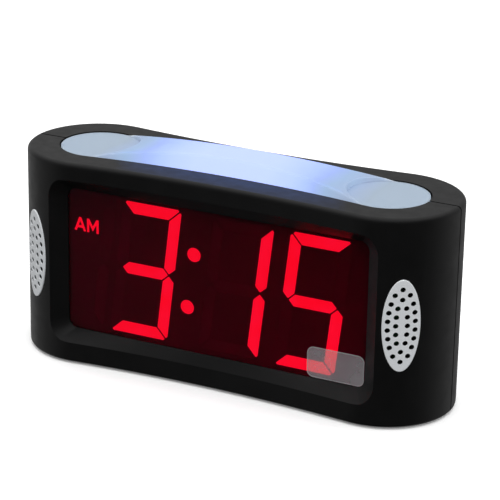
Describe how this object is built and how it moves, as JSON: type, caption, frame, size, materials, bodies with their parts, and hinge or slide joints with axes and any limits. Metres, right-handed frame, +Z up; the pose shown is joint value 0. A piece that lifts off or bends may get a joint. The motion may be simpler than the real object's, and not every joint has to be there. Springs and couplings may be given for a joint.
{
  "type": "alarm clock",
  "caption": "Bedside alarm clock with a red seven-segment display in a bevelled window, a glowing snooze bar along the top, speaker grilles on its round ends and rear controls.",
  "frame": {"origin": "on the supporting surface, under the middle of the clock, at the bottom of its feet", "axes": "+X to the right seen from the front, +Y to the back, +Z up"},
  "size_m": [0.1494, 0.0462, 0.0735],
  "materials": {
    "housing": "fine satin grain, near-black moulded plastic",
    "window": "dark red tinted clear plastic",
    "film": "clear cling film with a faint grey haze, blank",
    "reflector": "black face, matt",
    "lit": "diffusing resin lit red from behind",
    "unlit": "diffusing resin, unlit",
    "diode": "clear moulded resin",
    "board": "green solder mask over glass fibre",
    "screw": "zinc-plated steel",
    "grille": "silver paint on plastic, fine metallic",
    "spring": "bright spring steel",
    "tray": "white reflective plastic",
    "component": "black moulded component bodies",
    "plug": "cream nylon connector",
    "cable": "grey ribbon cable",
    "inlet": "black moulded socket",
    "cell": "plain wrapped cell, blank",
    "rubber": "matt black rubber",
    "label": "silver-grey film label, blank",
    "lens": "frosted pale blue translucent plastic, lit from below",
    "button": "satin black moulded plastic"
  },
  "bodies": {
    "root": {"front_shell": "housing", "rear_shell": "housing", "display_window": "window", "window_label": "film", "digit_reflector": "reflector", "lit_segments": "lit", "unlit_segments": "unlit", "display_diodes": "diode", "display_board": "board", "display_screws": "screw", "case_screws": "screw", "grille_left": "grille", "grille_right": "grille", "snooze_springs": "spring", "night_light_board": "board", "light_board_screws": "screw", "night_light_diodes": "diode", "light_tray": "tray", "snooze_switches": "component", "rear_switches": "component", "alarm_switch_body": "component", "dimmer_control": "component", "main_circuit_board": "board", "main_board_screws": "screw", "clock_chip": "component", "board_components": "component", "buzzer": "component", "cable_plugs": "plug", "display_ribbon": "cable", "light_ribbon": "cable", "power_board": "board", "power_inlet": "inlet", "power_components": "component", "backup_cells": "cell", "battery_contacts": "spring", "rubber_feet": "rubber", "rating_label": "label"},
    "snooze": {"snooze_bar": "lens"},
    "alarm_key": {"alarm_button": "button"},
    "time_key": {"time_button": "button"},
    "hour_key": {"hour_button": "button"},
    "minute_key": {"minute_button": "button"},
    "alarm_slider": {"alarm_switch_knob": "button"},
    "dimmer": {"dimmer_wheel": "button"},
    "door": {"battery_door": "housing"}
  },
  "joints": [
    {"name": "snooze_press", "type": "slide", "parent": "root", "child": "snooze", "axis": [0, 0, -1], "range_m": [0, 0.0008], "stiffness_N_per_m": 700, "springref_m": -0.0012, "deforming": ["snooze_springs"]},
    {"name": "alarm_press", "type": "slide", "parent": "root", "child": "alarm_key", "axis": [0, -1, 0], "range_m": [0, 0.0008], "stiffness_N_per_m": 400, "springref_m": -0.0006},
    {"name": "time_press", "type": "slide", "parent": "root", "child": "time_key", "axis": [0, -1, 0], "range_m": [0, 0.0008], "stiffness_N_per_m": 400, "springref_m": -0.0006},
    {"name": "hour_press", "type": "slide", "parent": "root", "child": "hour_key", "axis": [0, -1, 0], "range_m": [0, 0.0008], "stiffness_N_per_m": 400, "springref_m": -0.0006},
    {"name": "minute_press", "type": "slide", "parent": "root", "child": "minute_key", "axis": [0, -1, 0], "range_m": [0, 0.0008], "stiffness_N_per_m": 400, "springref_m": -0.0006},
    {"name": "alarm_slide", "type": "slide", "parent": "root", "child": "alarm_slider", "axis": [1, 0, 0], "range_m": [0, 0.003]},
    {"name": "dimmer_turn", "type": "hinge", "parent": "root", "child": "dimmer", "pos_m": [-0.038, 0.01725, 0.0462], "axis": [0, 0, 1], "range_deg": [0, 270]},
    {"name": "door_swing", "type": "hinge", "parent": "root", "child": "door", "pos_m": [0, 0.021, 0.0086], "axis": [-1, 0, 0], "range_deg": [0, 80]}
  ]
}
